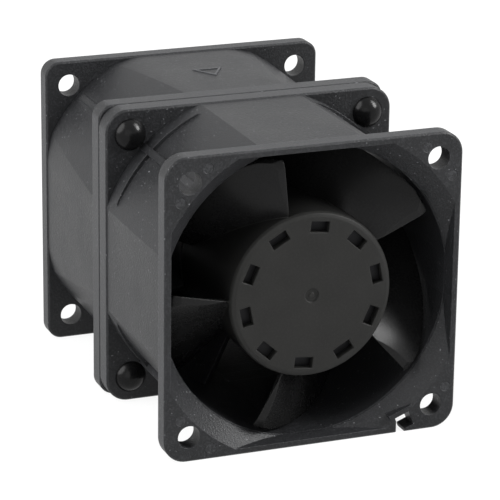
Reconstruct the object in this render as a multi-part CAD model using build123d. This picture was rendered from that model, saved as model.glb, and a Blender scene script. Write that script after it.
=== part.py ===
from build123d import *
import os
from math import atan, cos, degrees, radians, sin, sqrt, tan

os.makedirs("parts", exist_ok=True)

# Two fan modules stand back to back on one axis and turn opposite ways.
# Each module is drawn lying on its joint face: the fan axis is Z, the joint face is
# z = 0 and the outer face is z = module_length. At the end the intake module is turned
# to face -Y, and the exhaust module is mirrored to face +Y. Sizes are in millimetres.

# Frame, flanges and mounting holes
frame_width = 60.0
module_length = 38.0
hole_setback = 5.0
hole_diameter = 4.5
outer_flange_thickness = 3.8
joint_flange_thickness = 4.3
intake_flange_corner = 4.5
exhaust_flange_corner = 3.0
flange_edge_chamfer = 0.35

# Barrel between the flanges
barrel_setback = 0.25
side_wall = 1.05
bore_flat_depth = 0.3
mouth_flare = 3.7
mouth_depth = 3.9
intake_flat_half_width = 10.4
intake_corner_wall = 1.8
band_wall = 2.7
band_width = 3.8
band_end_angle = 11.0
exhaust_flat_half_width = 8.4
exhaust_corner_joint_wall = 2.4
exhaust_corner_outer_wall = 3.4
rib_width = 1.4
rib_rise = 0.4

# Lead notch in the intake flange
notch_width = 3.1
notch_height = 3.0
notch_tilt_angle = 22.0
notch_side_setback = 10.5
notch_edge_setback = 2.2
notch_mouth_shift = 0.8
notch_mouth_width = 1.9
notch_wall = 1.0

# Motor base and guide vanes
base_height = 9.2
base_thickness = 2.0
base_setback = 0.4
base_rim_wall = 1.2
boss_wall = 1.6
boss_height = 4.0
rotor_end_gap = 0.8
vane_count = 7
vane_thickness = 1.5
vane_depth = 8.0
vane_offset = 2.4
vane_first_angle = 90.0

# Impeller hubs
tip_gap = 0.4
hub_radius = 16.4
hub_face_recess = 1.2
hub_disc_thickness = 1.6
hub_wall = 1.6
hub_edge_radius = 1.0
slot_count = 10
slot_first_angle = 12.0
slot_setback = 2.9
slot_width = 3.8
slot_height = 2.2
gate_mark_radius = 1.4
gate_mark_depth = 0.3
gate_nub_radius = 0.5
gate_nub_height = 0.2

# Blades: each is a piece cut from the wall of a large leaning cone
blade_edge_recess = 0.6
blade_inner_overhang = 0.8
blade_thickness = 1.2
blade_corner_radius = 2.2
blade_middle_radius = 22.0
blade_cut_overrun = 4.0
intake_blade_count = 5
intake_blade_first_angle = 30.0
intake_blade_wrap_angle = 62.0
intake_blade_sweep_angle = 4.5
intake_cone_shift = -21.6
intake_cone_height = 1.9
intake_cone_lean_across = 0.296
intake_cone_lean_down = -1.121
intake_cone_radius = 34.4
intake_cone_angle = 18.1
exhaust_blade_count = 4
exhaust_blade_first_angle = 12.0
exhaust_blade_wrap_angle = 78.0
exhaust_blade_sweep_angle = 2.0
exhaust_cone_shift = 13.5
exhaust_cone_height = 38.7
exhaust_cone_lean_across = -0.700
exhaust_cone_lean_down = 1.511
exhaust_cone_radius = 24.8
exhaust_cone_angle = 20.9

# Shaft and its bearings
shaft_radius = 1.5
shaft_overhang = 0.6
bearing_radius = 4.0
bearing_width = 4.0
race_thickness = 0.75
shield_reach = 0.45
shield_thickness = 0.25
shield_recess = 0.1
base_bearing_top = 9.0
tube_wall = 1.0
tube_lip = 0.5
tube_ridge_reach = 0.6
cap_thickness = 1.0
cap_gap = 0.1
retaining_ring_reach = 0.9
retaining_ring_thickness = 0.5
retaining_ring_gap = 1.4
retaining_ring_drop = 0.3
groove_depth = 0.3
spring_thickness = 0.4
spring_reach = 0.7
bush_wall = 1.3
bush_length = 4.75

# Motor
yoke_wall = 1.0
yoke_inset = 1.0
magnet_thickness = 1.9
magnet_inset = 0.5
magnet_length = 15.5
air_gap = 0.5
core_above_board = 6.8
core_length = 10.0
core_tip_thickness = 1.3
tooth_count = 6
tooth_width = 2.4
slot_opening = 2.0
insulator_thickness = 1.2
insulator_end_gap = 0.3
coil_thickness = 1.4
coil_over_hub_wall = 0.1
coil_hub_gap = 0.4
coil_end_gap = 0.5
board_above_boss = 0.8
board_thickness = 1.0
board_edge_gap = 1.0
board_bore_gap = 0.4
post_count = 3
post_setback = 0.5
post_width = 1.2
chip_length = 5.0
chip_width = 4.0
chip_height = 1.5
chip_setback = 4.2
sensor_length = 3.0
sensor_width = 1.6
sensor_height = 1.2
sensor_setback = 1.8
small_part_length = 2.0
small_part_width = 1.2
small_part_height = 0.9
small_part_angles = (60, 95, 130, 240, 290)

# Rivets through the joint flanges
rivet_hole_diameter = 4.1
rivet_head_radius = 3.2
rivet_head_height = 2.2
rivet_edge_height = 1.1
rivet_edge_angle = 20.0
rivet_crown_angle = 52.0
rivet_tail_radius = 2.9
rivet_tail_height = 1.6

# Clearances
small_fit = 0.03
fit = 0.05

# The sealed rings of the motor, the rivets and their holes are drawn with flat sides
large_ring_sides = 24
small_ring_sides = 12

# The frame's sizes worked out from the ones above
half_width = frame_width / 2
hole_pitch = frame_width - 2 * hole_setback
barrel_half = half_width - barrel_setback
bore_half = barrel_half - side_wall
bore_radius = bore_half + bore_flat_depth
mouth_radius = bore_radius + mouth_flare
band_radius = bore_radius + band_wall
intake_corner_reach = bore_radius + intake_corner_wall
exhaust_corner_joint_radius = bore_radius + exhaust_corner_joint_wall
exhaust_corner_outer_radius = bore_radius + exhaust_corner_outer_wall
outer_flange_low = module_length - outer_flange_thickness
notch_centre_x = half_width - notch_side_setback
notch_centre_y = notch_edge_setback - half_width
notch_mouth_x = notch_centre_x - notch_mouth_shift
base_radius = hub_radius
base_low = base_setback
base_top = base_setback + base_thickness
boss_top = base_top + boss_height

# The rotor's sizes
hub_low = base_height + rotor_end_gap
hub_top = module_length - hub_face_recess
slot_centre_radius = hub_radius - slot_setback
tip_radius = bore_half - tip_gap
blade_outer = hub_top - blade_edge_recess
blade_inner = hub_low + blade_inner_overhang
yoke_low = hub_low + yoke_inset
yoke_top = hub_top - hub_disc_thickness - fit
yoke_radius = hub_radius - hub_wall - fit
magnet_low = yoke_low + magnet_inset
magnet_high = magnet_low + magnet_length
magnet_radius = yoke_radius - yoke_wall - fit
bush_radius = shaft_radius + bush_wall
bush_low = yoke_top - bush_length
spring_radius = shaft_radius + spring_reach
retaining_ring_radius = shaft_radius + retaining_ring_reach
retaining_ring_top = base_bearing_top - bearing_width - retaining_ring_drop
retaining_ring_low = retaining_ring_top - retaining_ring_thickness
shaft_low = retaining_ring_low - shaft_overhang

# The bearings' and the tube's sizes
hub_bearing_top = bush_low - spring_thickness
outer_race_radius = bearing_radius - race_thickness
inner_race_radius = shaft_radius + race_thickness
shield_radius = inner_race_radius + shield_reach
tube_radius = bearing_radius + tube_wall
tube_low = base_low + cap_thickness + cap_gap
tube_high = hub_bearing_top + tube_lip
tube_ridge_radius = bearing_radius - tube_ridge_reach

# The stator's and the board's sizes
board_low = boss_top + board_above_boss
board_top = board_low + board_thickness
board_radius = base_radius - base_rim_wall - board_edge_gap
board_bore_radius = tube_radius + board_bore_gap
chip_place = board_radius - chip_setback
sensor_place = board_radius - sensor_setback
core_low = board_top + core_above_board
core_high = core_low + core_length
core_radius = magnet_radius - magnet_thickness - air_gap
tooth_end_radius = core_radius - core_tip_thickness
coil_outer_radius = tooth_end_radius - coil_end_gap
coil_and_hub_wall = coil_outer_radius - coil_hub_gap - tube_radius
core_hub_wall = (coil_and_hub_wall - coil_over_hub_wall) / 2
core_hub_radius = tube_radius + core_hub_wall
insulator_arm_radius = tooth_end_radius - insulator_end_gap
post_radius = core_hub_radius - post_setback
coil_room = insulator_thickness + fit
coil_inner_radius = core_hub_radius + coil_hub_gap


def disc(radius, low, high):
    """A round disc on the fan axis."""
    blank = Cylinder(radius, high - low, align=(Align.CENTER, Align.CENTER, Align.MIN))
    return Pos(0, 0, low) * blank


def flat_sided(radius, low, high, sides):
    """A bar on the fan axis with flat sides; the radius is that of its edges."""
    return Pos(0, 0, low) * extrude(RegularPolygon(radius, sides), high - low)


def large_ring(outer, inner, low, high):
    """A ring of the rotor or stator."""
    sides = large_ring_sides
    return flat_sided(outer, low, high, sides) - flat_sided(inner, low, high, sides)


def small_ring(outer, inner, low, high):
    """A ring of the shaft or a bearing."""
    sides = small_ring_sides
    return flat_sided(outer, low, high, sides) - flat_sided(inner, low, high, sides)


def square_bar(half, low, high):
    """A square bar on the fan axis, given by half its width."""
    blank = Box(2 * half, 2 * half, high - low, align=(Align.CENTER, Align.CENTER, Align.MIN))
    return Pos(0, 0, low) * blank


def block(x_low, x_high, width, low, high):
    """A block across the X axis."""
    blank = Box(x_high - x_low, width, high - low, align=(Align.MIN, Align.CENTER, Align.MIN))
    return Pos(x_low, 0, low) * blank


def around_axis(piece, count, first_angle):
    """Copies of a piece, evenly spaced round the fan axis."""
    return [Rot(0, 0, first_angle + 360 * i / count) * piece for i in range(count)]


def flange(corner, low, high):
    """A square flange plate with round corners and broken edges."""
    plate = extrude(RectangleRounded(frame_width, frame_width, corner), high - low)
    faces = plate.faces().sort_by(Axis.Z)
    rims = faces[0].edges() + faces[-1].edges()
    return Pos(0, 0, low) * chamfer(rims, flange_edge_chamfer)


def intake_barrel_walls():
    """Flat sides with four shallow corner walls, each an arc between two flats."""
    chord_reach = (barrel_half + intake_flat_half_width) / sqrt(2)
    half_chord = (barrel_half - intake_flat_half_width) / sqrt(2)
    rise = intake_corner_reach - chord_reach
    corner_radius = (half_chord**2 + rise**2) / (2 * rise)
    centre = (intake_corner_reach - corner_radius) / sqrt(2)
    square = Rectangle(2 * barrel_half, 2 * barrel_half)
    outline = square
    for side_x in (-1, 1):
        for side_y in (-1, 1):
            outline &= Pos(side_x * centre, side_y * centre) * Circle(corner_radius)
    band_low = joint_flange_thickness
    band = Pos(0, 0, band_low) * extrude(square, band_width, taper=band_end_angle)
    band &= disc(band_radius, band_low, band_low + band_width)
    span = outer_flange_low - joint_flange_thickness
    return Pos(0, 0, joint_flange_thickness) * extrude(outline, span) + band


def exhaust_barrel_walls():
    """Flat sides that turn softly into corner walls, which widen towards the outer flange."""
    soft_corner = barrel_half - exhaust_flat_half_width
    outline = RectangleRounded(2 * barrel_half, 2 * barrel_half, soft_corner)
    span = outer_flange_low - joint_flange_thickness
    widening = Cone(
        exhaust_corner_joint_radius,
        exhaust_corner_outer_radius,
        span,
        align=(Align.CENTER, Align.CENTER, Align.MIN),
    )
    walls = Pos(0, 0, joint_flange_thickness) * widening
    return Pos(0, 0, joint_flange_thickness) * extrude(outline, span) & walls


def corner_ribs(reach):
    """One rib on each corner wall, from the joint flange to the outer flange."""
    foot = bore_radius + side_wall / 2
    rib = block(foot, reach, rib_width, joint_flange_thickness, outer_flange_low)
    return around_axis(rib, 4, 45)


def air_passage():
    """The bore through the module, with a bell mouth at the outer face."""
    bore = disc(bore_radius, 0, module_length)
    mouth = Cone(
        bore_radius, mouth_radius, mouth_depth, align=(Align.CENTER, Align.CENTER, Align.MIN)
    )
    mouth = Pos(0, 0, module_length - mouth_depth) * mouth
    return (bore + mouth) & square_bar(bore_half, 0, module_length)


def motor_base():
    """The round cup that carries the motor, with a bored boss for the bearing tube."""
    cup = disc(base_radius, base_low, base_height)
    recess = base_radius - base_rim_wall
    cup -= flat_sided(recess, base_top, base_height, large_ring_sides)
    boss = flat_sided(tube_radius + boss_wall, base_low, boss_top, small_ring_sides)
    return cup + boss - flat_sided(tube_radius + fit, base_low, boss_top, small_ring_sides)


def guide_vanes(turn):
    """Curved vanes that carry the motor base; turn is the side that their free edge leans to."""
    half_turn = atan(vane_offset / vane_depth)
    bend_radius = vane_depth / sin(2 * half_turn)
    start = 180 if turn > 0 else 0
    sweep = -turn * degrees(2 * half_turn)
    middle = (turn * bend_radius, base_low)
    sides = [
        CenterArc(middle, bend_radius + offset * vane_thickness / 2, start, sweep)
        for offset in (1, -1)
    ]
    ends = [Line(sides[0] @ end, sides[1] @ end) for end in (0, 1)]
    section = make_face(sides + ends)
    radial = Plane(origin=(base_radius / 2, 0, 0), x_dir=(0, 1, 0), z_dir=(1, 0, 0))
    vane = extrude(radial * section, bore_radius)
    air_ring = air_passage() - disc(base_radius, 0, module_length)
    return [piece & air_ring for piece in around_axis(vane, vane_count, vane_first_angle)]


def lead_notch():
    """The wall round the lead window, and the window itself, open to the flange's edge."""
    turned = Pos(notch_centre_x, notch_centre_y, outer_flange_low) * Rot(0, 0, notch_tilt_angle)
    standing = (Align.CENTER, Align.CENTER, Align.MIN)
    window = turned * Box(notch_width, notch_height, outer_flange_thickness, align=standing)
    wall_width = notch_width + 2 * notch_wall
    wall_height = notch_height + 2 * notch_wall
    wall = turned * Box(wall_width, wall_height, outer_flange_thickness, align=standing)
    wall &= square_bar(barrel_half, outer_flange_low, module_length)
    mouth_low = -half_width - flange_edge_chamfer
    mouth = Box(
        notch_mouth_width,
        notch_centre_y - mouth_low,
        outer_flange_thickness,
        align=(Align.CENTER, Align.MIN, Align.MIN),
    )
    return wall, window + Pos(notch_mouth_x, mouth_low, outer_flange_low) * mouth


def outer_flange(corner):
    """The flange at a module's outer face, with the bell mouth and the mounting holes."""
    plate = flange(corner, outer_flange_low, module_length) - air_passage()
    hole = Cylinder(hole_diameter / 2, 2 * module_length)
    return plate - [place * hole for place in GridLocations(hole_pitch, hole_pitch, 2, 2)]


def intake_outer_flange():
    """The intake flange, which also has the lead notch."""
    wall, window = lead_notch()
    return outer_flange(intake_flange_corner) + wall - window


def joint_flange(corner):
    """The flange that the rivets hold against the other module's."""
    plate = flange(corner, 0, joint_flange_thickness) - air_passage()
    hole = flat_sided(rivet_hole_diameter / 2, 0, joint_flange_thickness, small_ring_sides)
    return plate - [place * hole for place in GridLocations(hole_pitch, hole_pitch, 2, 2)]


def barrel(walls, rib_reach):
    """A module's walls between its flanges, with their ribs, open for the air."""
    return walls + corner_ribs(rib_reach) - air_passage()


def intake_frame():
    """The moulded frame of the intake module."""
    return {
        "outer_flange": intake_outer_flange(),
        "barrel": barrel(intake_barrel_walls(), band_radius + rib_rise),
        "joint_flange": joint_flange(intake_flange_corner),
        "guide_vanes": guide_vanes(1),
    }


def exhaust_frame():
    """The moulded frame of the exhaust module."""
    return {
        "outer_flange": outer_flange(exhaust_flange_corner),
        "barrel": barrel(exhaust_barrel_walls(), exhaust_corner_outer_radius),
        "joint_flange": joint_flange(exhaust_flange_corner),
        "guide_vanes": guide_vanes(-1),
    }


def blade_limits(wrap, sweep):
    """The space that a blade may fill: a round ring, cut to the blade's turn round the hub."""
    foot = hub_radius - hub_wall / 2
    knee = blade_corner_radius * (1 - cos(radians(45)))
    reach = Polyline(
        (foot, blade_inner),
        (tip_radius, blade_inner),
        (tip_radius, blade_outer - blade_corner_radius),
        (tip_radius - knee, blade_outer - knee),
        (tip_radius - blade_corner_radius, blade_outer),
        (foot, blade_outer),
        close=True,
    )
    space = revolve(Plane.XZ * make_face(reach), Axis.Z)
    hub_side = Vector(hub_radius, 0, 0).rotate(Axis.Z, sweep - wrap / 2)
    tip_side = Vector(tip_radius, 0, 0).rotate(Axis.Z, -wrap / 2)
    outwards = (tip_side - hub_side).normalized()
    corners = [
        hub_side - outwards * blade_cut_overrun,
        tip_side + outwards * blade_cut_overrun,
        Vector(2 * tip_radius, 0, 0),
        Vector(2 * tip_radius, 0, 0).rotate(Axis.Z, wrap / 2),
        Vector(hub_radius / 2, 0, 0).rotate(Axis.Z, wrap / 2),
    ]
    return space & extrude(make_face(Polyline(*corners, close=True)), module_length)


def blade(wrap, sweep, cone):
    """One blade, cut from the wall of a large cone that leans across the fan axis."""
    shift, height, lean_across, lean_down, radius, angle = cone
    lie = Plane(
        origin=(blade_middle_radius, shift, height), z_dir=(1, lean_across, lean_down)
    )
    span = 2 * module_length
    spread = span / 2 * tan(radians(angle))
    skins = [
        Cone(radius + side - spread, radius + side + spread, span)
        for side in (blade_thickness / 2, -blade_thickness / 2)
    ]
    wall = lie.location * (skins[0] - skins[1])
    return Rot(0, 0, wrap / 2) * (wall & blade_limits(wrap, sweep))


def impeller(count, first_angle, wrap, sweep, cone):
    """The moulded hub cup with its blades, the slots in its face and its gate mark."""
    knee = hub_edge_radius * (1 - cos(radians(45)))
    half_section = Polyline(
        (0, hub_low),
        (hub_radius, hub_low),
        (hub_radius, hub_top - hub_edge_radius),
        (hub_radius - knee, hub_top - knee),
        (hub_radius - hub_edge_radius, hub_top),
        (0, hub_top),
        close=True,
    )
    body = revolve(Plane.XZ * make_face(half_section), Axis.Z)
    inside = hub_radius - hub_wall
    body += around_axis(blade(wrap, sweep, cone), count, first_angle)
    body -= flat_sided(inside, hub_low, hub_top - hub_disc_thickness, large_ring_sides)
    slot = Box(slot_height, slot_width, 3 * hub_disc_thickness)
    body -= around_axis(Pos(slot_centre_radius, 0, hub_top) * slot, slot_count, slot_first_angle)
    gate_floor = hub_top - gate_mark_depth
    body -= disc(gate_mark_radius, gate_floor, hub_top)
    return body + flat_sided(
        gate_nub_radius, gate_floor, gate_floor + gate_nub_height, small_ring_sides
    )


def intake_impeller():
    """Five blades that turn clockwise, seen from the intake."""
    cone = (
        intake_cone_shift,
        intake_cone_height,
        intake_cone_lean_across,
        intake_cone_lean_down,
        intake_cone_radius,
        intake_cone_angle,
    )
    return impeller(
        intake_blade_count,
        intake_blade_first_angle,
        intake_blade_wrap_angle,
        intake_blade_sweep_angle,
        cone,
    )


def exhaust_impeller():
    """Four blades that turn the other way and are steepest where the air leaves."""
    cone = (
        exhaust_cone_shift,
        exhaust_cone_height,
        exhaust_cone_lean_across,
        exhaust_cone_lean_down,
        exhaust_cone_radius,
        exhaust_cone_angle,
    )
    return impeller(
        exhaust_blade_count,
        exhaust_blade_first_angle,
        exhaust_blade_wrap_angle,
        exhaust_blade_sweep_angle,
        cone,
    )


def bearing_tube():
    """The tube that holds both bearings and carries the stator."""
    tube = small_ring(tube_radius, bearing_radius + small_fit, tube_low, tube_high)
    ridge_low = base_bearing_top
    ridge_high = hub_bearing_top - bearing_width
    return tube + small_ring(tube_radius, tube_ridge_radius, ridge_low, ridge_high)


def bearing_outer_ring(top):
    """The fixed race of a ball bearing."""
    return small_ring(bearing_radius, outer_race_radius, top - bearing_width, top)


def bearing_inner_ring(top):
    """The race that turns with the shaft."""
    bore = shaft_radius + small_fit
    return small_ring(inner_race_radius, bore, top - bearing_width, top)


def bearing_shields(top):
    """The two thin discs that close a bearing's ends."""
    upper = top - shield_recess
    lower = top - bearing_width + shield_recess
    rim = outer_race_radius - small_fit
    return [
        small_ring(rim, shield_radius, upper - shield_thickness, upper),
        small_ring(rim, shield_radius, lower, lower + shield_thickness),
    ]


def shaft():
    """The shaft, with a groove for the retaining ring just under the base bearing."""
    pin = flat_sided(shaft_radius, shaft_low, yoke_top, small_ring_sides)
    groove = small_ring(
        2 * shaft_radius,
        shaft_radius - groove_depth,
        retaining_ring_low - small_fit,
        retaining_ring_top + small_fit,
    )
    return pin - groove


def retaining_ring():
    """The open clip in the shaft's groove."""
    bore = shaft_radius - groove_depth + small_fit
    clip = small_ring(retaining_ring_radius, bore, retaining_ring_low, retaining_ring_top)
    opening = block(
        0, 2 * retaining_ring_radius, retaining_ring_gap, retaining_ring_low, retaining_ring_top
    )
    return clip - opening


def preload_spring():
    """The spring washer between the shaft bush and the hub bearing."""
    bore = shaft_radius + small_fit
    return small_ring(spring_radius, bore, hub_bearing_top, bush_low)


def bearing_cap():
    """The disc that closes the motor base under the bearing tube."""
    return flat_sided(tube_radius, base_low, base_low + cap_thickness, small_ring_sides)


def rotor_yoke():
    """The steel cup inside the hub."""
    sides = large_ring_sides
    cup = flat_sided(yoke_radius, yoke_low, yoke_top, sides)
    cup -= flat_sided(yoke_radius - yoke_wall, yoke_low, yoke_top - yoke_wall, sides)
    return cup - flat_sided(
        bush_radius + small_fit, yoke_low, yoke_top, small_ring_sides
    )


def shaft_bush():
    """The bush that joins the shaft to the yoke."""
    return small_ring(bush_radius, shaft_radius + small_fit, bush_low, yoke_top)


def magnet_ring():
    """The ring magnet inside the yoke."""
    return large_ring(magnet_radius, magnet_radius - magnet_thickness, magnet_low, magnet_high)


def stator_core():
    """The laminated core: a hub, and teeth that widen at their tips."""
    tips = large_ring(core_radius, tooth_end_radius, core_low, core_high)
    opening = block(0, 2 * core_radius, slot_opening, core_low, core_high)
    tips -= around_axis(opening, tooth_count, 180 / tooth_count)
    hub = flat_sided(core_hub_radius, core_low, core_high, small_ring_sides)
    tooth_tip = (core_radius + tooth_end_radius) / 2
    tooth = block(0, tooth_tip, tooth_width, core_low, core_high)
    core = hub + around_axis(tooth, tooth_count, 0) + tips
    return core - flat_sided(tube_radius + small_fit, core_low, core_high, small_ring_sides)


def insulator(low, high):
    """One end frame between the core and the coils."""
    plate = flat_sided(core_hub_radius, low, high, small_ring_sides)
    arm = block(0, insulator_arm_radius, tooth_width, low, high)
    plate += around_axis(arm, tooth_count, 0)
    return plate - flat_sided(tube_radius + small_fit, low, high, small_ring_sides)


def insulators():
    """Both end frames; the lower one stands on the board with three posts."""
    upper = insulator(core_high, core_high + insulator_thickness)
    low = core_low - insulator_thickness
    post = block(
        post_radius - post_width / 2, post_radius + post_width / 2, post_width, board_top, low
    )
    return [upper, insulator(low, core_low) + around_axis(post, post_count, 180 / tooth_count)]


def windings():
    """One coil round each tooth."""
    low = core_low - coil_room
    high = core_high + coil_room
    room = tooth_width + 2 * fit
    coil = block(
        coil_inner_radius,
        coil_outer_radius,
        room + 2 * coil_thickness,
        low - coil_thickness,
        high + coil_thickness,
    )
    coil -= block(coil_inner_radius, coil_outer_radius, room, low, high)
    return around_axis(coil, tooth_count, 0)


def circuit_board():
    """The drive board under the stator."""
    board = flat_sided(board_radius, board_low, board_top, large_ring_sides)
    return board - flat_sided(board_bore_radius, board_low, board_top, small_ring_sides)


def board_components():
    """The drive chip and small parts under the board, and the position sensor on it."""
    above = (Align.CENTER, Align.CENTER, Align.MIN)
    below = (Align.CENTER, Align.CENTER, Align.MAX)
    chip = Box(chip_width, chip_length, chip_height, align=below)
    sensor = Box(sensor_width, sensor_length, sensor_height, align=above)
    small = Box(small_part_width, small_part_length, small_part_height, align=below)
    pieces = [
        Pos(chip_place, 0, board_low) * chip,
        Rot(0, 0, 180) * Pos(sensor_place, 0, board_top) * sensor,
    ]
    for angle in small_part_angles:
        pieces.append(Rot(0, 0, angle) * Pos(chip_place, 0, board_low) * small)
    return pieces


def flange_rivets():
    """Four domed rivets that hold the joint flanges together, drawn along the fan axis."""
    half_grip = joint_flange_thickness
    sides = small_ring_sides
    shank = flat_sided(rivet_hole_diameter / 2 - fit, -half_grip, half_grip, sides)
    edge = extrude(
        RegularPolygon(rivet_head_radius, sides), rivet_edge_height, taper=rivet_edge_angle
    )
    crown_radius = rivet_head_radius - rivet_edge_height * tan(radians(rivet_edge_angle))
    crown_height = rivet_head_height - rivet_edge_height
    crown = extrude(RegularPolygon(crown_radius, sides), crown_height, taper=rivet_crown_angle)
    head = Pos(0, 0, half_grip) * (edge + Pos(0, 0, rivet_edge_height) * crown)
    tail_blank = RegularPolygon(rivet_tail_radius, sides)
    tail = extrude(tail_blank, rivet_tail_height, taper=rivet_edge_angle)
    rivet = shank + head + Pos(0, 0, -half_grip) * Rot(180, 0, 0) * tail
    return [place * rivet for place in GridLocations(hole_pitch, hole_pitch, 2, 2)]


def module_pieces():
    """The pieces that are alike in both modules."""
    return {
        "motor_base": motor_base(),
        "bearing_tube": bearing_tube(),
        "hub_bearing_outer_ring": bearing_outer_ring(hub_bearing_top),
        "hub_bearing_inner_ring": bearing_inner_ring(hub_bearing_top),
        "hub_bearing_shields": bearing_shields(hub_bearing_top),
        "base_bearing_outer_ring": bearing_outer_ring(base_bearing_top),
        "base_bearing_inner_ring": bearing_inner_ring(base_bearing_top),
        "base_bearing_shields": bearing_shields(base_bearing_top),
        "shaft": shaft(),
        "retaining_ring": retaining_ring(),
        "preload_spring": preload_spring(),
        "bearing_cap": bearing_cap(),
        "rotor_yoke": rotor_yoke(),
        "shaft_bush": shaft_bush(),
        "magnet_ring": magnet_ring(),
        "stator_core": stator_core(),
        "insulators": insulators(),
        "windings": windings(),
        "circuit_board": circuit_board(),
        "board_components": board_components(),
    }


def placed(pieces, at_exhaust):
    """Pieces turned to face along the fan's own axis, as one shape."""
    group = pieces if isinstance(pieces, list) else [pieces]
    turned = [Rot(90, 0, 0) * piece for piece in group]
    if at_exhaust:
        turned = [mirror(piece, Plane.XZ) for piece in turned]
    return turned[0] if len(turned) == 1 else Compound(children=turned)


def write(name, shape):
    """Write one piece or group as a STEP file."""
    export_step(shape, "parts/" + name + ".step")


shared = module_pieces()
intake = {**intake_frame(), "impeller": intake_impeller(), **shared}
exhaust = {**exhaust_frame(), "impeller": exhaust_impeller(), **shared}
for part, shape in intake.items():
    write("intake_" + part, placed(shape, False))
for part, shape in exhaust.items():
    write("exhaust_" + part, placed(shape, True))
write("flange_rivets", placed(flange_rivets(), False))
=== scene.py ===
"""Finishes, rivets, moulded mark, studio and camera for a counter-rotating axial cooling fan.

The packed fan is loaded as the frame. Each operator in the sidebar panel dresses or makes one
group of its pieces. Lengths are in metres, in the fan's own frame: +Y runs along the rotor axis
from the intake face to the exhaust face, and +Z is up.
"""

from math import atan2, cos, radians, sin, sqrt

import bmesh
import bpy
from mathutils import Matrix, Quaternion, Vector


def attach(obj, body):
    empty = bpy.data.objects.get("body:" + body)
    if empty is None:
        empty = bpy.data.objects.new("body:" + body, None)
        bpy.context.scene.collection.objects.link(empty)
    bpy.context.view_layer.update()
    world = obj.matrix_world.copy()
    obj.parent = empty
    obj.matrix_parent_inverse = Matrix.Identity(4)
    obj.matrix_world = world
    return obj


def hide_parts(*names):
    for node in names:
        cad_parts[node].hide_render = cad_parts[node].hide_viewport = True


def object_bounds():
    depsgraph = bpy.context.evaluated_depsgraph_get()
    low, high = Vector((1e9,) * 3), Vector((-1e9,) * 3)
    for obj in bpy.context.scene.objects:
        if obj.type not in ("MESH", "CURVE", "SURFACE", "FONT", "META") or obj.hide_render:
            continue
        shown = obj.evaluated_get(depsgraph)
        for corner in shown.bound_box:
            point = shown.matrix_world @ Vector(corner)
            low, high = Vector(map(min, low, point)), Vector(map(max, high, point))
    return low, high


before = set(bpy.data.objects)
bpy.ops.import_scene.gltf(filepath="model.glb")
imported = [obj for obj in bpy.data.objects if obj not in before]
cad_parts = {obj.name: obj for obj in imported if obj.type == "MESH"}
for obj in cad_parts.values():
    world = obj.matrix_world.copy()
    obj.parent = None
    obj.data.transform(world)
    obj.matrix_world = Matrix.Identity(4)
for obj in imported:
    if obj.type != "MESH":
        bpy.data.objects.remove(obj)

bl_info = {
    "name": "Counter-rotating fan dressing",
    "version": (1, 0, 0),
    "blender": (4, 5, 0),
    "location": "View3D > Sidebar > Fan",
    "description": "Gives a packed two-rotor cooling fan its finishes, rivets and studio",
    "category": "Object",
}

CAD_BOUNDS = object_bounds()
MM = 0.001
SIDES = ("intake", "exhaust")

# Scale that leaves out the place along the rotor axis
ACROSS_AXIS = (1, 0, 1)

# Stretches with which a metal's fine lines run along the rotor axis, or round it
LINES_ALONG = (1, 0.05, 1)
LINES_ROUND = (0.2, 1, 0.2)

# Radius of the softened edges on small pieces
SMALL_EDGE = 0.1 * MM

# Length of one wave of the wave texture at scale 1
WAVE_LENGTH = radians(18)

# Edges sharper than this stay sharp on new pieces, and points closer than this are one
SHARP_ANGLE = radians(35)
SAME_PLACE = 0.0001 * MM

# Steps of a rivet's dome from its pole to its rim, and of a full turn
DOME_STEPS = 14
TURN_STEPS = 48

# Places of the ejector pins' marks on the intake face, across and up, in millimetres
PIN_MARKS = (
    (-21.6, 27.6),
    (-26.9, 21.4),
    (22.6, 27.3),
    (27.9, 21.3),
    (28.0, -21.6),
    (-26.7, -21.5),
    (-20.6, -27.8),
)


# Shader maths


class Socket:
    """A shader output that takes part in Python sums."""

    def __init__(self, nodes, output):
        self.nodes = nodes
        self.output = output

    def math(self, operation, first, second):
        return self.nodes.add("ShaderNodeMath", {"operation": operation}, (first, second))

    def __add__(self, other):
        return self.math("ADD", self, other)

    def __radd__(self, other):
        return self.math("ADD", other, self)

    def __sub__(self, other):
        return self.math("SUBTRACT", self, other)

    def __rsub__(self, other):
        return self.math("SUBTRACT", other, self)

    def __mul__(self, other):
        return self.math("MULTIPLY", self, other)

    def __rmul__(self, other):
        return self.math("MULTIPLY", other, self)

    def lesser(self, other):
        return self.math("MINIMUM", self, other)

    def greater(self, other):
        return self.math("MAXIMUM", self, other)

    def size(self):
        """The value without its sign."""
        return self.math("ABSOLUTE", self, 0.0)

    def step(self, low, high):
        """0 below low and 1 above high, with a soft passage between."""
        settings = {"interpolation_type": "SMOOTHSTEP"}
        values = {"Value": self, "From Min": low, "From Max": high}
        return self.nodes.add("ShaderNodeMapRange", settings, values)

    def swing(self, amount):
        """A pattern centred on 0, so that it adds as much as it takes away."""
        return (self - 0.5) * amount


class Nodes:
    """The nodes of a material or of the world."""

    def __init__(self, owner):
        self.owner = owner
        owner.use_nodes = True
        self.tree = owner.node_tree
        self.tree.nodes.clear()

    def add(self, kind, settings=None, values=(), output=0):
        """A node with its settings made first, and then the values or links of its sockets."""
        node = self.tree.nodes.new(kind)
        for key, value in (settings or {}).items():
            setattr(node, key, value)
        for key, value in values.items() if isinstance(values, dict) else enumerate(values):
            self.feed(node.inputs[key], value)
        return Socket(self, node.outputs[output] if len(node.outputs) else None)

    def feed(self, target, value):
        """Link a value to an input, or set it there."""
        if isinstance(value, Socket):
            self.tree.links.new(value.output, target)
        else:
            target.default_value = value

    def seen_rays(self):
        """1 for what the camera sees directly, in a reflection or through glass."""
        names = ("Is Camera Ray", "Is Glossy Ray", "Is Transmission Ray")
        camera, glossy, through = (self.add("ShaderNodeLightPath", output=name) for name in names)
        return camera.greater(glossy).greater(through)


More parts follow.
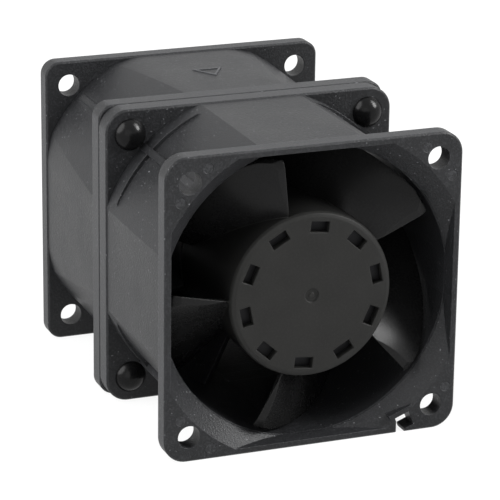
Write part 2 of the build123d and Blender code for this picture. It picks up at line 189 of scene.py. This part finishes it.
class Finish(Nodes):
    """A new material for pieces of the fan."""

    def __init__(self, name):
        super().__init__(bpy.data.materials.new(name))
        self.place = self.add("ShaderNodeTexCoord", output="Object")

    def noise(self, scale, detail=2.0, place=None):
        """Soft noise round 0.5."""
        values = {"Vector": place or self.place, "Scale": scale, "Detail": detail}
        return self.add("ShaderNodeTexNoise", None, values)

    def stretched(self, scale):
        """Object coordinates scaled on each axis."""
        return self.add("ShaderNodeMapping", None, {"Vector": self.place, "Scale": scale})

    def blend(self, factor, first, second):
        """A colour between two others."""
        values = {0: factor, 6: first, 7: second}
        return self.add("ShaderNodeMix", {"data_type": "RGBA"}, values, output=2)

    def bump(self, height, depth, strength, normal):
        """The normal that a fine relief gives."""
        values = {"Height": height, "Distance": depth, "Strength": strength, "Normal": normal}
        return self.add("ShaderNodeBump", None, values)

    def soft_edges(self, radius):
        """The surface normal, rounded off within this distance of each edge."""
        return self.add("ShaderNodeBevel", {"samples": 6}, {"Radius": radius})

    def wear_and_edge_highlight(self, soft_normal):
        """1 along the edges that the soft normal rounds off. The finishes paint these edges paler,
        as rubbing and as a painted edge highlight.
        """
        flat_normal = self.add("ShaderNodeNewGeometry", output="Normal")
        settings = {"operation": "DOT_PRODUCT"}
        agreement = self.add(
            "ShaderNodeVectorMath", settings, (soft_normal, flat_normal), output="Value"
        )
        return (1 - agreement).step(0.01, 0.2)

    def along(self, axis):
        """The place along one axis."""
        return self.add("ShaderNodeSeparateXYZ", None, {"Vector": self.place}, output=axis)

    def outer_rim(self, reach):
        """1 on the flanges' outermost sides, which lie at least this far out."""
        side, top = (self.along(axis).size() for axis in ("X", "Z"))
        return side.greater(top).step(reach - 0.1 * MM, reach)

    def distance(self, point, flatten):
        """How far the surface lies from a point, with the axes given 0 left out."""
        flat = self.stretched(flatten)
        settings = {"operation": "DISTANCE"}
        return self.add("ShaderNodeVectorMath", settings, (flat, point), output="Value")

    def finish(self, **values):
        """The Principled shader, by socket name with _ for a space."""
        named = {key.replace("_", " "): value for key, value in values.items()}
        shader = self.add("ShaderNodeBsdfPrincipled", None, named)
        self.add("ShaderNodeOutputMaterial", None, {"Surface": shader})
        return self.owner


def shade(colour, factor=1.0):
    """A colour made lighter or darker, with the alpha that a socket needs."""
    return (colour[0] * factor, colour[1] * factor, colour[2] * factor, 1.0)


# Finishes


def pin_marks(finish, look, places):
    """1 inside the round marks that the ejector pins left on the marked face."""
    nearest = finish.distance(places[0], ACROSS_AXIS)
    for place in places[1:]:
        nearest = nearest.lesser(finish.distance(place, ACROSS_AXIS))
    on_face = 1 - finish.along("Y").step(look.mark_plane, look.mark_plane + 0.2 * MM)
    return (1 - nearest.step(look.mark_radius - 0.12 * MM, look.mark_radius)) * on_face


def moulded_black(name, look, edge, marks=(), painted_light_paleness=0.0):
    """Black glass-filled moulding: grain, flow marks, pale specks, edges painted paler as rubbing
    and painted highlight, and rims painted paler as rubbing and painted light.

    The marks are places of ejector marks, and the last argument paints it paler all over, as a
    painted highlight.
    """
    finish = Finish(name)
    grain = finish.noise(look.grain_scale, 3.0)
    cloud = finish.noise(look.cloud_scale, 3.0)
    dust = finish.noise(look.dust_scale, 0.0).step(0.79, 0.83)
    soft = finish.soft_edges(edge)
    worn_and_lit_edges = finish.wear_and_edge_highlight(soft)
    height = grain
    # Rounded edges painted paler: partly rubbing, partly a painted edge highlight
    pale = worn_and_lit_edges * (0.1 + cloud) + painted_light_paleness
    pale = pale + grain.step(0.35, 0.65).swing(look.speckle)
    # Flanges' outer sides painted paler: partly rubbed, speckled rims, partly painted light that
    # these sides catch from the floor and the side
    pale = pale + finish.outer_rim(look.rim) * (0.3 + cloud) * look.rim_rub_and_light
    if marks:
        marked = pin_marks(finish, look, marks)
        height = grain - marked * look.mark_depth
        pale = pale + marked * look.mark_paleness
    colour = finish.blend(cloud, shade(look.colour, 0.7), shade(look.colour, 1.3))
    toned = finish.blend(pale, colour, shade(look.colour, 3.0))
    return finish.finish(
        Base_Color=finish.blend(dust * look.dust, toned, shade(look.dust_colour)),
        Roughness=look.roughness + cloud.swing(0.15) + grain.swing(0.25) - worn_and_lit_edges * 0.08,
        Specular_IOR_Level=look.gloss,
        Normal=finish.bump(height, look.grain_depth, 0.7, soft),
    )


def impeller_black(name, look):
    """Black moulding: glossy blades round a matt hub that is a little paler, the blades painted
    darker than the hub as painted shade inside the duct.
    """
    finish = Finish(name)
    grain = finish.noise(look.grain_scale, 3.0)
    cloud = finish.noise(look.cloud_scale, 3.0)
    from_axis = finish.distance((0, 0, 0), ACROSS_AXIS)
    hub = 1 - from_axis.step(look.hub_radius - 0.2 * MM, look.hub_radius)
    soft = finish.soft_edges(look.edge)
    worn_and_lit_edges = finish.wear_and_edge_highlight(soft)
    # Painted shade: the blades take a darker colour than the hub of the same moulding
    duct_shaded_blade = finish.blend(cloud, shade(look.colour, 0.75), shade(look.colour, 1.25))
    face = finish.blend(cloud, shade(look.hub_colour, 0.8), shade(look.hub_colour, 1.2))
    toned = finish.blend(hub, duct_shaded_blade, face)
    # Rounded edges painted paler: partly rubbing, partly a painted edge highlight
    pale = worn_and_lit_edges * 0.4 + grain.step(0.35, 0.65).swing(hub * 0.3)
    return finish.finish(
        Base_Color=finish.blend(pale, toned, shade(look.hub_colour, 2.0)),
        Roughness=look.roughness + hub * 0.18 + cloud.swing(0.1) + grain.swing(0.08),
        Specular_IOR_Level=look.gloss,
        Normal=finish.bump(grain * (0.35 + hub * 0.65), look.grain_depth, 0.6, soft),
    )


def polished_black(name, look):
    """Polished black moulding with hairline scuffs."""
    finish = Finish(name)
    scuffs = finish.noise(1500.0, 4.0, finish.stretched((1, 0.2, 1)))
    cloud = finish.noise(300.0)
    soft = finish.soft_edges(SMALL_EDGE)
    return finish.finish(
        Base_Color=finish.blend(cloud, shade(look.colour, 0.8), shade(look.colour, 1.2)),
        Roughness=look.roughness + scuffs.step(0.55, 0.75) * 0.1,
        Specular_IOR_Level=look.gloss,
        Normal=finish.bump(scuffs, 0.002 * MM, 0.5, soft),
    )


def ground_metal(name, colour, roughness, stretch):
    """Metal with fine lines along the axes whose stretch is small."""
    finish = Finish(name)
    lines = finish.noise(900.0, 3.0, finish.stretched(stretch))
    cloud = finish.noise(150.0)
    soft = finish.soft_edges(SMALL_EDGE)
    worn_and_lit_edges = finish.wear_and_edge_highlight(soft)
    toned = finish.blend(cloud, shade(colour, 0.85), shade(colour, 1.1))
    return finish.finish(
        # Rounded edges painted brighter: partly wear, partly a painted edge highlight
        Base_Color=finish.blend(worn_and_lit_edges * 0.4, toned, shade(colour, 1.4)),
        Metallic=1.0,
        Roughness=roughness + lines.swing(0.2),
        Normal=finish.bump(lines, 0.02 * MM, 0.4, soft),
    )


def plain_moulding(name, colour, roughness, grain_scale=1200.0):
    """Small electrical mouldings, magnet and board material."""
    finish = Finish(name)
    grain = finish.noise(grain_scale, 3.0)
    cloud = finish.noise(200.0)
    soft = finish.soft_edges(SMALL_EDGE)
    worn_and_lit_edges = finish.wear_and_edge_highlight(soft)
    toned = finish.blend(cloud, shade(colour, 0.85), shade(colour, 1.12))
    return finish.finish(
        # Rounded edges painted paler: partly rubbing, partly a painted edge highlight
        Base_Color=finish.blend(worn_and_lit_edges * 0.3, toned, shade(colour, 1.5)),
        Roughness=roughness + grain.swing(0.15),
        Normal=finish.bump(grain, 0.02 * MM, 0.5, soft),
    )


def stacked_sheets(name, colour, sheet):
    """Thin steel sheets stacked along the rotor axis."""
    finish = Finish(name)
    settings = {"wave_type": "BANDS", "bands_direction": "Y", "wave_profile": "SAW"}
    values = {"Vector": finish.place, "Scale": WAVE_LENGTH / sheet}
    joints = finish.add("ShaderNodeTexWave", settings, values, output=1).step(0.75, 0.95)
    cloud = finish.noise(400.0)
    soft = finish.soft_edges(SMALL_EDGE)
    toned = finish.blend(cloud, shade(colour, 0.8), shade(colour, 1.1))
    return finish.finish(
        Base_Color=finish.blend(joints, toned, shade(colour, 0.3)),
        Metallic=0.9,
        Roughness=0.4 + cloud * 0.1,
        Normal=finish.bump(1 - joints, 0.05 * MM, 0.6, soft),
    )


def wound_wire(name, colour, wire):
    """Enamelled wire in turns side by side, each turn lying across the rotor axis."""
    finish = Finish(name)
    settings = {"wave_type": "RINGS", "rings_direction": "Y"}
    values = {"Vector": finish.place, "Scale": WAVE_LENGTH / wire, "Distortion": 0.3}
    turns = finish.add("ShaderNodeTexWave", settings, values, output=1)
    cloud = finish.noise(500.0)
    soft = finish.soft_edges(0.3 * MM)
    toned = finish.blend(cloud, shade(colour, 0.8), shade(colour, 1.15))
    return finish.finish(
        Base_Color=finish.blend(turns, shade(colour, 0.35), toned),
        Metallic=0.8,
        Roughness=0.3 + cloud * 0.12,
        Coat_Weight=0.3,
        Normal=finish.bump(turns, 0.08 * MM, 0.8, soft),
    )


# Putting finishes and new pieces on the fan


def both(*parts):
    """The nodes of these parts, in both modules."""
    return [f"{side}_{part}" for part in parts for side in SIDES]


def dress(nodes, material):
    """Give CAD nodes their finish."""
    for name in nodes:
        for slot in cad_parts[name].material_slots:
            slot.material = material


def new_piece(name, mesh_maker, body, material):
    """A new smooth-shaded piece that rides on a body."""
    bm = bmesh.new()
    mesh_maker(bm)
    bmesh.ops.remove_doubles(bm, verts=bm.verts, dist=SAME_PLACE)
    bmesh.ops.recalc_face_normals(bm, faces=bm.faces)
    for face in bm.faces:
        face.smooth = True
    mesh = bpy.data.meshes.new(name)
    bm.to_mesh(mesh)
    bm.free()
    mesh.set_sharp_from_angle(angle=SHARP_ANGLE)
    mesh.materials.append(material)
    piece = bpy.data.objects.new(name, mesh)
    bpy.context.scene.collection.objects.link(piece)
    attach(piece, body)
    return piece


def domed_rivet(bm, look, middle):
    """One rivet along the rotor axis, with the middle of its grip at this place."""
    axis = Vector((0, 1, 0))
    half_grip = look.grip / 2
    dome_radius = (look.head_radius**2 + look.head_height**2) / (2 * look.head_height)
    tip = -half_grip - look.head_height
    pole = bm.verts.new(middle + axis * tip)
    dome = bmesh.ops.spin(
        bm,
        geom=[pole],
        axis=(0, 0, 1),
        cent=middle + axis * (tip + dome_radius),
        angle=atan2(look.head_radius, dome_radius - look.head_height),
        steps=DOME_STEPS,
    )
    last = next(item for item in dome["geom_last"] if isinstance(item, bmesh.types.BMVert))
    tail_end = half_grip + look.tail_height
    for radius, place in (
        (look.shank_radius, -half_grip),
        (look.shank_radius, half_grip),
        (look.tail_radius, half_grip),
        (look.tail_radius - look.tail_taper, tail_end),
        (0, tail_end),
    ):
        corner = bm.verts.new(middle + Vector((radius, place, 0)))
        bm.edges.new((last, corner))
        last = corner
    fresh = [vertex for vertex in bm.verts if not vertex.link_faces]
    outline = fresh + list({edge for vertex in fresh for edge in vertex.link_edges})
    bmesh.ops.spin(
        bm,
        geom=outline,
        axis=axis,
        cent=middle,
        angle=radians(360),
        steps=TURN_STEPS,
        use_merge=True,
    )


def raised_triangle(bm, look):
    """A triangular line with rounded edges on a flat top, rooted a little below it."""
    outer = look.side / sqrt(3)
    inner = outer - 2 * look.line
    foot = look.surface - look.root
    outline, hollow = (
        [
            bm.verts.new((reach * cos(turn), look.centre + reach * sin(turn), foot))
            for turn in (radians(30), radians(150), radians(270))
        ]
        for reach in (outer, inner)
    )
    faces = [
        bm.faces.new((outline[i - 1], outline[i], hollow[i], hollow[i - 1])) for i in range(3)
    ]
    raised = bmesh.ops.extrude_face_region(bm, geom=faces, use_keep_orig=True)["geom"]
    tops = [item for item in raised if isinstance(item, bmesh.types.BMVert)]
    bmesh.ops.translate(bm, verts=tops, vec=(0, 0, look.rise + look.root))
    edges = [edge for edge in bm.edges if min(v.co.z for v in edge.verts) > look.surface]
    bmesh.ops.bevel(
        bm,
        geom=edges,
        offset=look.rounding,
        segments=2,
        profile=0.5,
        affect="EDGES",
        material=-1,
    )


# Sizes and colours that a user would change


def colour_property(title, default):
    """A colour."""
    return bpy.props.FloatVectorProperty(
        name=f"{title.capitalize()} colour",
        description=f"Colour of the {title}",
        subtype="COLOR",
        default=default,
        min=0.0,
        max=1.0,
    )


def factor_property(name, description, default):
    """A share between 0 and 1."""
    return bpy.props.FloatProperty(
        name=name, description=description, default=default, min=0.0, max=1.0, subtype="FACTOR"
    )


def length_property(name, description, default):
    """A length in metres."""
    return bpy.props.FloatProperty(
        name=name, description=description, default=default, unit="LENGTH", precision=6
    )


def power_property(name, description, default):
    """A lamp's power in watts."""
    return bpy.props.FloatProperty(
        name=name, description=description, default=default, min=0.0, unit="POWER"
    )


def number_property(name, description, default):
    """A number without a unit."""
    return bpy.props.FloatProperty(name=name, description=description, default=default, min=0.0)


class HousingLook(bpy.types.PropertyGroup):
    """Finish of the moulded housings"""

    colour: colour_property("housings", (0.0125, 0.0128, 0.0138))
    roughness: factor_property("Roughness", "Roughness of the housings", 0.42)
    gloss: factor_property("Gloss", "Strength of the housings' reflections", 0.18)
    dust: factor_property("Dust", "Strength of the pale specks", 0.9)
    dust_scale: number_property("Speck scale", "Fineness of the pale specks", 2160.0)
    dust_colour: colour_property("pale specks", (0.11, 0.112, 0.118))
    speckle: factor_property("Speckle", "Contrast of the moulded grain", 0.6)
    # Paleness of the flanges' outer sides: partly rubbing, partly painted light
    rim_rub_and_light: factor_property("Rubbing", "Paleness of the flanges' rubbed rims", 0.45)
    rim: length_property("Rim", "How far out the flanges' rims lie", 29.95 * MM)
    grain_scale: number_property("Grain scale", "Fineness of the moulded grain", 2700.0)
    grain_depth: length_property("Grain depth", "Depth of the moulded grain", 0.12 * MM)
    cloud_scale: number_property("Flow marks", "Fineness of the faint flow marks", 110.0)
    edge: length_property("Soft edge", "Radius of the moulded edges", 0.3 * MM)
    mark_radius: length_property("Pin mark radius", "Radius of the ejector marks", 1.08 * MM)
    mark_depth: number_property("Pin mark depth", "Depth of the marks, in grain depths", 3.0)
    mark_paleness: factor_property("Pin mark paleness", "How much paler the marks are", 0.35)
    mark_plane: length_property("Pin mark plane", "Place of the marked face", -37.95 * MM)


class ImpellerLook(bpy.types.PropertyGroup):
    """Finish of the moulded impellers"""

    # Blade colour darker than the hub colour: painted shade inside the duct
    colour: colour_property("blades", (0.007, 0.007, 0.0071))
    hub_colour: colour_property("hubs", (0.014, 0.014, 0.0134))
    hub_radius: length_property("Hub radius", "Radius inside which the finish is matt", 16.5 * MM)
    roughness: factor_property("Roughness", "Roughness of the blades", 0.27)
    gloss: factor_property("Gloss", "Strength of the impellers' reflections", 0.11)
    grain_scale: number_property("Grain scale", "Fineness of the surface grain", 2200.0)
    grain_depth: length_property("Grain depth", "Depth of the surface grain", 0.015 * MM)
    cloud_scale: number_property("Flow marks", "Fineness of the faint flow marks", 140.0)
    edge: length_property("Soft edge", "Radius of the moulded edges", 0.4 * MM)


class RivetLook(bpy.types.PropertyGroup):
    """Shape and finish of the rivets"""

    colour: colour_property("rivets", (0.004, 0.004, 0.0042))
    roughness: factor_property("Roughness", "Roughness of the rivets", 0.2)
    gloss: factor_property("Gloss", "Strength of the rivets' reflections", 0.14)
    spacing: length_property("Spacing", "Distance between rivets", 50.0 * MM)
    grip: length_property("Grip", "Thickness of both joint flanges", 8.6 * MM)
    head_radius: length_property("Head radius", "Radius of the domed head", 3.2 * MM)
    head_height: length_property("Head height", "Height of the domed head", 2.2 * MM)
    shank_radius: length_property("Shank radius", "Radius of the shank", 2.0 * MM)
    tail_radius: length_property("Tail radius", "Radius of the set tail", 2.9 * MM)
    tail_height: length_property("Tail height", "Height of the set tail", 1.6 * MM)
    tail_taper: length_property("Tail taper", "How much smaller the tail's end is", 0.4 * MM)


class MarkLook(bpy.types.PropertyGroup):
    """Shape of the raised triangle on the exhaust housing"""

    side: length_property("Side", "Side of the triangular mark", 6.3 * MM)
    centre: length_property("Centre", "Place of the mark along the fan", 18.65 * MM)
    line: length_property("Line", "Width of the raised line", 0.5 * MM)
    rise: length_property("Rise", "Height of the raised line", 0.2 * MM)
    surface: length_property("Surface", "Height of the barrel's flat top", 29.75 * MM)
    root: length_property("Root", "Depth of the line's root in the barrel", 0.1 * MM)
    rounding: length_property("Rounding", "Radius of the line's edges", 0.1 * MM)
    edge: length_property("Soft edge", "Radius of the edges in the finish", 0.0625 * MM)
    # Painted highlight: paleness of the whole raised line, standing in for its lit edges
    painted_light_paleness: factor_property("Rubbing", "Paleness of the rubbed line", 0.9)


class StudioLook(bpy.types.PropertyGroup):
    """Light, floor and camera"""

    surround: number_property("Surround", "Strength of the light from all round", 0.55)
    key_power: power_property("Key light", "Power of the lamp above the fan's right side", 5.0)
    accent_power: power_property("Accent light", "Power of the small lamp at the right", 10.0)
    fill_power: power_property("Fill light", "Power of the large lamp at the upper left", 34.0)
    front_power: power_property("Front light", "Power of the lamp in front of the fan", 1.5)
    floor_colour: colour_property("floor", (0.9, 0.9, 0.9))
    floor_glow: factor_property("Floor glow", "Share of the floor that shows as white", 0.88)
    camera_place: bpy.props.FloatVectorProperty(
        name="Camera place",
        description="Where the camera stands",
        subtype="TRANSLATION",
        unit="LENGTH",
        default=(-0.1930, -0.4915, 0.1747),
    )
    camera_direction: bpy.props.FloatVectorProperty(
        name="Camera direction",
        description="Where the camera looks",
        subtype="DIRECTION",
        default=(0.3494, 0.8812, -0.3183),
    )
    camera_roll: bpy.props.FloatProperty(
        name="Camera roll",
        description="Turn of the camera about its own axis",
        subtype="ANGLE",
        default=radians(0.738),
    )
    lens: bpy.props.FloatProperty(
        name="Lens",
        description="Focal length in millimetres, on a 36 mm sensor",
        unit="CAMERA",
        default=199.7,
    )


# Operators


class FAN_OT_housings(bpy.types.Operator):
    """Finish both moulded housings and the caps that close their motor bases"""

    bl_idname = "fan.housings"
    bl_label = "Housings"

    def execute(self, context):
        look = context.scene.fan_housing
        marks = [Vector((x * MM, 0, z * MM)) for x, z in PIN_MARKS]
        marked = moulded_black("marked_housing_black", look, look.edge, marks)
        dress(["intake_outer_flange"], marked)
        plain = moulded_black("housing_black", look, look.edge)
        inner = both("barrel", "joint_flange", "guide_vanes", "motor_base", "bearing_cap")
        dress(["exhaust_outer_flange"] + inner, plain)
        return {"FINISHED"}


class FAN_OT_impellers(bpy.types.Operator):
    """Finish both moulded impellers"""

    bl_idname = "fan.impellers"
    bl_label = "Impellers"

    def execute(self, context):
        dress(both("impeller"), impeller_black("impeller_black", context.scene.fan_impeller))
        return {"FINISHED"}


class FAN_OT_bearings(bpy.types.Operator):
    """Finish the tubes, bearings, shafts and their small rings"""

    bl_idname = "fan.bearings"
    bl_label = "Bearings and shafts"

    def execute(self, context):
        races = [
            f"{place}_bearing_{piece}"
            for place in ("hub", "base")
            for piece in ("outer_ring", "inner_ring", "shields")
        ]
        race = ground_metal("race_steel", (0.58, 0.58, 0.6), 0.28, LINES_ROUND)
        dress(both(*races), race)
        shaft = ground_metal("shaft_steel", (0.64, 0.64, 0.65), 0.2, LINES_ALONG)
        dress(both("shaft"), shaft)
        spring = ground_metal("spring_steel", (0.4, 0.4, 0.42), 0.35, LINES_ROUND)
        dress(both("retaining_ring", "preload_spring"), spring)
        brass = ground_metal("turned_brass", (0.72, 0.52, 0.22), 0.3, LINES_ROUND)
        dress(both("bearing_tube", "shaft_bush"), brass)
        return {"FINISHED"}


class FAN_OT_motors(bpy.types.Operator):
    """Finish the yokes, magnets, cores, coils and boards inside both motors"""

    bl_idname = "fan.motors"
    bl_label = "Motors"

    def execute(self, context):
        yoke = ground_metal("blackened_steel", (0.02, 0.02, 0.021), 0.5, LINES_ALONG)
        dress(both("rotor_yoke"), yoke)
        dress(both("magnet_ring"), plain_moulding("ferrite", (0.03, 0.03, 0.032), 0.6))
        dress(both("stator_core"), stacked_sheets("core_sheets", (0.35, 0.35, 0.37), 0.5 * MM))
        dress(both("insulators"), plain_moulding("natural_plastic", (0.68, 0.63, 0.5), 0.45))
        dress(both("windings"), wound_wire("copper_wire", (0.62, 0.22, 0.07), 0.3 * MM))
        dress(both("circuit_board"), plain_moulding("green_board", (0.01, 0.09, 0.03), 0.35))
        dress(both("board_components"), plain_moulding("part_black", (0.02, 0.02, 0.02), 0.4))
        return {"FINISHED"}


class FAN_OT_rivets(bpy.types.Operator):
    """Make the four polished rivets through the joint flanges"""

    bl_idname = "fan.rivets"
    bl_label = "Rivets"

    def execute(self, context):
        look = context.scene.fan_rivets

        def four_rivets(bm):
            reach = look.spacing / 2
            for x in (-reach, reach):
                for z in (-reach, reach):
                    domed_rivet(bm, look, Vector((x, 0, z)))

        material = polished_black("rivet_black", look)
        rivets = new_piece("rivets", four_rivets, "frame", material)
        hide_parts("flange_rivets")
        return {"FINISHED"}


class FAN_OT_mark(bpy.types.Operator):
    """Make the small raised triangle on top of the exhaust housing"""

    bl_idname = "fan.mark"
    bl_label = "Moulded mark"

    def execute(self, context):
        look = context.scene.fan_mark

        def triangle(bm):
            raised_triangle(bm, look)

        housing = context.scene.fan_housing
        # The raised line is painted paler all over: a painted highlight
        black = moulded_black("mark_black", housing, look.edge, painted_light_paleness=look.painted_light_paleness)
        new_piece("moulded_mark", triangle, "frame", black)
        return {"FINISHED"}


class FAN_OT_studio(bpy.types.Operator):
    """Make the floor, the soft light and the camera"""

    bl_idname = "fan.studio"
    bl_label = "Studio"

    def execute(self, context):
        look = context.scene.fan_studio
        self.make_floor(look)
        self.make_surround(look)
        self.make_lamp(
            "key_lamp", look.key_power, width=0.4, direction=(0.63, -0.24, 0.74), distance=1.0
        )
        self.make_lamp(
            "accent_lamp", look.accent_power, width=0.4, direction=(0.75, -0.40, 0.53), distance=1.0
        )
        self.make_lamp(
            "fill_lamp", look.fill_power, width=1.6, direction=(-0.80, 0.1, 0.59), distance=1.4
        )
        self.make_lamp(
            "front_lamp", look.front_power, width=1.0, direction=(-0.35, -0.9, 0.25), distance=1.2
        )
        self.make_camera(look)
        context.scene.view_settings.view_transform = "Standard"
        return {"FINISHED"}

    def make_floor(self, look):
        """A wide plain floor under the fan."""
        reach = 4.0
        bm = bmesh.new()
        bmesh.ops.create_grid(
            bm,
            x_segments=1,
            y_segments=1,
            size=reach,
            matrix=Matrix.Translation((0, 0, CAD_BOUNDS[0].z)),
        )
        mesh = bpy.data.meshes.new("floor")
        bm.to_mesh(mesh)
        bm.free()
        pale = Nodes(bpy.data.materials.new("pale_floor"))
        colour = shade(look.floor_colour)
        lit = pale.add("ShaderNodeBsdfDiffuse", None, {"Color": colour, "Roughness": 1.0})
        white = pale.add("ShaderNodeEmission", None, {"Strength": 1.0})
        shown = pale.seen_rays() * look.floor_glow
        mixed = pale.add("ShaderNodeMixShader", None, (shown, lit, white))
        pale.add("ShaderNodeOutputMaterial", None, {"Surface": mixed})
        mesh.materials.append(pale.owner)
        floor = bpy.data.objects.new("floor", mesh)
        bpy.context.scene.collection.objects.link(floor)

    def make_surround(self, look):
        """Even light from all round, which shows as white."""
        world = Nodes(bpy.data.worlds.new("surround"))
        strength = look.surround + (1 - look.surround) * world.seen_rays()
        values = {"Color": (1, 1, 1, 1), "Strength": strength}
        light = world.add("ShaderNodeBackground", None, values)
        world.add("ShaderNodeOutputWorld", None, {"Surface": light})
        bpy.context.scene.world = world.owner

    def make_lamp(self, name, power, width, direction, distance):
        """A round lamp that faces the fan's centre."""
        lamp = bpy.data.lights.new(name, "AREA")
        lamp.shape = "DISK"
        lamp.size = width
        lamp.energy = power
        lamp_object = bpy.data.objects.new(name, lamp)
        towards = Vector(direction).normalized()
        turn = towards.to_track_quat("Z", "Y").to_matrix().to_4x4()
        lamp_object.matrix_world = Matrix.Translation(towards * distance) @ turn
        bpy.context.scene.collection.objects.link(lamp_object)

    def make_camera(self, look):
        """The camera at the photo's place."""
        camera = bpy.data.cameras.new("photo_camera")
        camera.lens = look.lens
        camera.clip_start = 0.01
        camera_object = bpy.data.objects.new("photo_camera", camera)
        aim = Vector(look.camera_direction).to_track_quat("-Z", "Y")
        turn = aim @ Quaternion((0, 0, 1), look.camera_roll)
        place = Matrix.Translation(look.camera_place)
        camera_object.matrix_world = place @ turn.to_matrix().to_4x4()
        bpy.context.scene.collection.objects.link(camera_object)
        bpy.context.scene.camera = camera_object


class FAN_PT_sidebar(bpy.types.Panel):
    """The fan's operators and their settings"""

    bl_idname = "FAN_PT_sidebar"
    bl_label = "Cooling fan"
    bl_space_type = "VIEW_3D"
    bl_region_type = "UI"
    bl_category = "Fan"

    def draw(self, context):
        for operator in OPERATORS:
            self.layout.operator(operator.bl_idname)
        for name, group in LOOKS.items():
            box = self.layout.box()
            box.label(text=group.__doc__)
            for setting in group.__annotations__:
                box.prop(getattr(context.scene, name), setting)


LOOKS = {
    "fan_housing": HousingLook,
    "fan_impeller": ImpellerLook,
    "fan_rivets": RivetLook,
    "fan_mark": MarkLook,
    "fan_studio": StudioLook,
}
OPERATORS = (
    FAN_OT_housings,
    FAN_OT_impellers,
    FAN_OT_bearings,
    FAN_OT_motors,
    FAN_OT_rivets,
    FAN_OT_mark,
    FAN_OT_studio,
)


def register():
    for group in LOOKS.values():
        bpy.utils.register_class(group)
    for name, group in LOOKS.items():
        setattr(bpy.types.Scene, name, bpy.props.PointerProperty(type=group))
    for operator in OPERATORS:
        bpy.utils.register_class(operator)
    bpy.utils.register_class(FAN_PT_sidebar)


def unregister():
    bpy.utils.unregister_class(FAN_PT_sidebar)
    for operator in reversed(OPERATORS):
        bpy.utils.unregister_class(operator)
    for name in LOOKS:
        delattr(bpy.types.Scene, name)
    for group in reversed(LOOKS.values()):
        bpy.utils.unregister_class(group)


def main():
    register()
    bpy.ops.fan.housings()
    bpy.ops.fan.impellers()
    bpy.ops.fan.bearings()
    bpy.ops.fan.motors()
    bpy.ops.fan.rivets()
    bpy.ops.fan.mark()
    bpy.ops.fan.studio()


if __name__ == "__main__":
    main()
